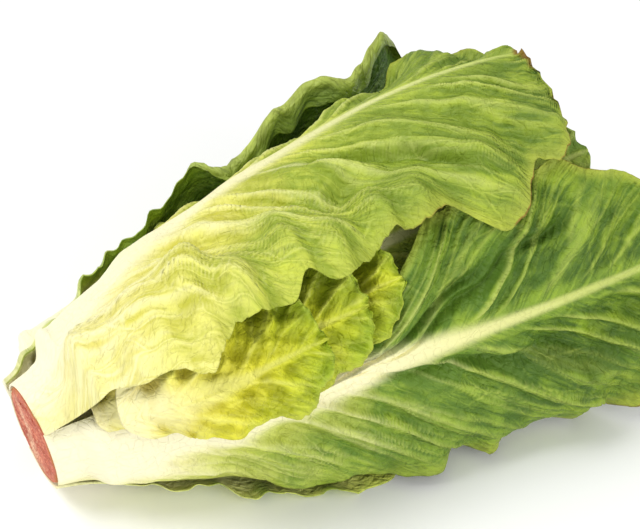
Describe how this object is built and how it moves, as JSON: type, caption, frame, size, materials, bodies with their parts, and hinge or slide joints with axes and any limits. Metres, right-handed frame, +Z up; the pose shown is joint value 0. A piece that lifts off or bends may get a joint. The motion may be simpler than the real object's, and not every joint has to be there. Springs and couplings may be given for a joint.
{
  "type": "romaine lettuce",
  "caption": "Romaine lettuce head lying on its side: a cut stump with long ribbed leaves wrapped round a pale heart.",
  "frame": {"origin": "centre of the bounding box's underside, on the surface that the head lies on", "axes": "+X along the head from the cut stump to the leaf tips, +Z up"},
  "size_m": [0.269, 0.1806, 0.1413],
  "materials": {
    "bud_leaf_1": "waxy leaf",
    "bud_leaf_2": "waxy leaf",
    "bud_leaf_3": "waxy leaf",
    "far_leaf": "waxy leaf",
    "heart_leaf_1": "waxy leaf",
    "heart_leaf_2": "waxy leaf",
    "heart_leaf_3": "waxy leaf",
    "heart_leaf_4": "waxy leaf",
    "inner_leaf_1": "waxy leaf",
    "inner_leaf_2": "waxy leaf",
    "inner_leaf_3": "waxy leaf",
    "inner_leaf_4": "waxy leaf",
    "middle_leaf_1": "waxy leaf",
    "middle_leaf_2": "waxy leaf",
    "middle_leaf_3": "waxy leaf",
    "middle_leaf_4": "waxy leaf",
    "near_leaf": "waxy leaf",
    "stump": "cut and browned",
    "top_leaf": "waxy leaf",
    "under_leaf": "waxy leaf"
  },
  "bodies": {
    "root": {"bud_leaf_1": "bud_leaf_1", "bud_leaf_2": "bud_leaf_2", "bud_leaf_3": "bud_leaf_3", "far_leaf": "far_leaf", "heart_leaf_1": "heart_leaf_1", "heart_leaf_2": "heart_leaf_2", "heart_leaf_3": "heart_leaf_3", "heart_leaf_4": "heart_leaf_4", "inner_leaf_1": "inner_leaf_1", "inner_leaf_2": "inner_leaf_2", "inner_leaf_3": "inner_leaf_3", "inner_leaf_4": "inner_leaf_4", "middle_leaf_1": "middle_leaf_1", "middle_leaf_2": "middle_leaf_2", "middle_leaf_3": "middle_leaf_3", "middle_leaf_4": "middle_leaf_4", "near_leaf": "near_leaf", "stump": "stump", "top_leaf": "top_leaf", "under_leaf": "under_leaf"}
  },
  "joints": []
}
